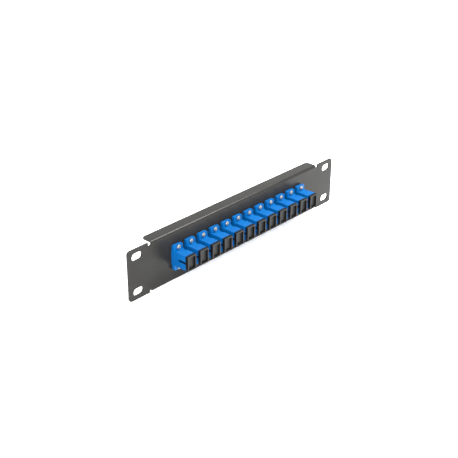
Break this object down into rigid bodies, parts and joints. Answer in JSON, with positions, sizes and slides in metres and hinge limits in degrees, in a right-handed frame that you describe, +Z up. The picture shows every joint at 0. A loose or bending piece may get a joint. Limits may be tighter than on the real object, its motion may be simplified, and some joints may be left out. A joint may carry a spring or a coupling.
{
  "type": "fibre patch panel",
  "caption": "Rack-mount fibre patch panel: a folded steel sheet carrying a row of square push-pull couplers with pull-off dust caps front and back.",
  "frame": {"origin": "centre of the four rack slots, on the panel's front face", "axes": "+X along the panel, -Y out of its front, +Z up"},
  "size_m": [0.254, 0.0334, 0.044],
  "materials": {
    "panel_paint": "fine-textured dark grey powder coat",
    "blue_plastic": "satin moulded blue",
    "black_plastic": "satin moulded black",
    "zirconia": "polished white",
    "screw_steel": "bright nickel plating"
  },
  "bodies": {
    "root": {"rack_panel": "panel_paint", "front_latch_inserts": "blue_plastic", "rear_latch_inserts": "blue_plastic", "alignment_sleeves": "zirconia", "flange_screws": "screw_steel", "front_housing_01": "blue_plastic", "front_housing_02": "blue_plastic", "front_housing_03": "blue_plastic", "front_housing_04": "blue_plastic", "front_housing_05": "blue_plastic", "front_housing_06": "blue_plastic", "front_housing_07": "blue_plastic", "front_housing_08": "blue_plastic", "front_housing_09": "blue_plastic", "front_housing_10": "blue_plastic", "front_housing_11": "blue_plastic", "front_housing_12": "blue_plastic", "rear_housing_01": "blue_plastic", "rear_housing_02": "blue_plastic", "rear_housing_03": "blue_plastic", "rear_housing_04": "blue_plastic", "rear_housing_05": "blue_plastic", "rear_housing_06": "blue_plastic", "rear_housing_07": "blue_plastic", "rear_housing_08": "blue_plastic", "rear_housing_09": "blue_plastic", "rear_housing_10": "blue_plastic", "rear_housing_11": "blue_plastic", "rear_housing_12": "blue_plastic"},
    "front_cap_01": {"front_dust_cap_01": "black_plastic"},
    "front_cap_02": {"front_dust_cap_02": "black_plastic"},
    "front_cap_03": {"front_dust_cap_03": "black_plastic"},
    "front_cap_04": {"front_dust_cap_04": "black_plastic"},
    "front_cap_05": {"front_dust_cap_05": "black_plastic"},
    "front_cap_06": {"front_dust_cap_06": "black_plastic"},
    "front_cap_07": {"front_dust_cap_07": "black_plastic"},
    "front_cap_08": {"front_dust_cap_08": "black_plastic"},
    "front_cap_09": {"front_dust_cap_09": "black_plastic"},
    "front_cap_10": {"front_dust_cap_10": "black_plastic"},
    "front_cap_11": {"front_dust_cap_11": "black_plastic"},
    "front_cap_12": {"front_dust_cap_12": "black_plastic"},
    "rear_cap_01": {"rear_dust_cap_01": "black_plastic"},
    "rear_cap_02": {"rear_dust_cap_02": "black_plastic"},
    "rear_cap_03": {"rear_dust_cap_03": "black_plastic"},
    "rear_cap_04": {"rear_dust_cap_04": "black_plastic"},
    "rear_cap_05": {"rear_dust_cap_05": "black_plastic"},
    "rear_cap_06": {"rear_dust_cap_06": "black_plastic"},
    "rear_cap_07": {"rear_dust_cap_07": "black_plastic"},
    "rear_cap_08": {"rear_dust_cap_08": "black_plastic"},
    "rear_cap_09": {"rear_dust_cap_09": "black_plastic"},
    "rear_cap_10": {"rear_dust_cap_10": "black_plastic"},
    "rear_cap_11": {"rear_dust_cap_11": "black_plastic"},
    "rear_cap_12": {"rear_dust_cap_12": "black_plastic"}
  },
  "joints": [
    {"name": "front_cap_01_pull", "type": "slide", "parent": "root", "child": "front_cap_01", "axis": [0, -1, 0], "range_m": [0, 0.012]},
    {"name": "front_cap_02_pull", "type": "slide", "parent": "root", "child": "front_cap_02", "axis": [0, -1, 0], "range_m": [0, 0.012]},
    {"name": "front_cap_03_pull", "type": "slide", "parent": "root", "child": "front_cap_03", "axis": [0, -1, 0], "range_m": [0, 0.012]},
    {"name": "front_cap_04_pull", "type": "slide", "parent": "root", "child": "front_cap_04", "axis": [0, -1, 0], "range_m": [0, 0.012]},
    {"name": "front_cap_05_pull", "type": "slide", "parent": "root", "child": "front_cap_05", "axis": [0, -1, 0], "range_m": [0, 0.012]},
    {"name": "front_cap_06_pull", "type": "slide", "parent": "root", "child": "front_cap_06", "axis": [0, -1, 0], "range_m": [0, 0.012]},
    {"name": "front_cap_07_pull", "type": "slide", "parent": "root", "child": "front_cap_07", "axis": [0, -1, 0], "range_m": [0, 0.012]},
    {"name": "front_cap_08_pull", "type": "slide", "parent": "root", "child": "front_cap_08", "axis": [0, -1, 0], "range_m": [0, 0.012]},
    {"name": "front_cap_09_pull", "type": "slide", "parent": "root", "child": "front_cap_09", "axis": [0, -1, 0], "range_m": [0, 0.012]},
    {"name": "front_cap_10_pull", "type": "slide", "parent": "root", "child": "front_cap_10", "axis": [0, -1, 0], "range_m": [0, 0.012]},
    {"name": "front_cap_11_pull", "type": "slide", "parent": "root", "child": "front_cap_11", "axis": [0, -1, 0], "range_m": [0, 0.012]},
    {"name": "front_cap_12_pull", "type": "slide", "parent": "root", "child": "front_cap_12", "axis": [0, -1, 0], "range_m": [0, 0.012]},
    {"name": "rear_cap_01_pull", "type": "slide", "parent": "root", "child": "rear_cap_01", "axis": [0, 1, 0], "range_m": [0, 0.012]},
    {"name": "rear_cap_02_pull", "type": "slide", "parent": "root", "child": "rear_cap_02", "axis": [0, 1, 0], "range_m": [0, 0.012]},
    {"name": "rear_cap_03_pull", "type": "slide", "parent": "root", "child": "rear_cap_03", "axis": [0, 1, 0], "range_m": [0, 0.012]},
    {"name": "rear_cap_04_pull", "type": "slide", "parent": "root", "child": "rear_cap_04", "axis": [0, 1, 0], "range_m": [0, 0.012]},
    {"name": "rear_cap_05_pull", "type": "slide", "parent": "root", "child": "rear_cap_05", "axis": [0, 1, 0], "range_m": [0, 0.012]},
    {"name": "rear_cap_06_pull", "type": "slide", "parent": "root", "child": "rear_cap_06", "axis": [0, 1, 0], "range_m": [0, 0.012]},
    {"name": "rear_cap_07_pull", "type": "slide", "parent": "root", "child": "rear_cap_07", "axis": [0, 1, 0], "range_m": [0, 0.012]},
    {"name": "rear_cap_08_pull", "type": "slide", "parent": "root", "child": "rear_cap_08", "axis": [0, 1, 0], "range_m": [0, 0.012]},
    {"name": "rear_cap_09_pull", "type": "slide", "parent": "root", "child": "rear_cap_09", "axis": [0, 1, 0], "range_m": [0, 0.012]},
    {"name": "rear_cap_10_pull", "type": "slide", "parent": "root", "child": "rear_cap_10", "axis": [0, 1, 0], "range_m": [0, 0.012]},
    {"name": "rear_cap_11_pull", "type": "slide", "parent": "root", "child": "rear_cap_11", "axis": [0, 1, 0], "range_m": [0, 0.012]},
    {"name": "rear_cap_12_pull", "type": "slide", "parent": "root", "child": "rear_cap_12", "axis": [0, 1, 0], "range_m": [0, 0.012]}
  ]
}
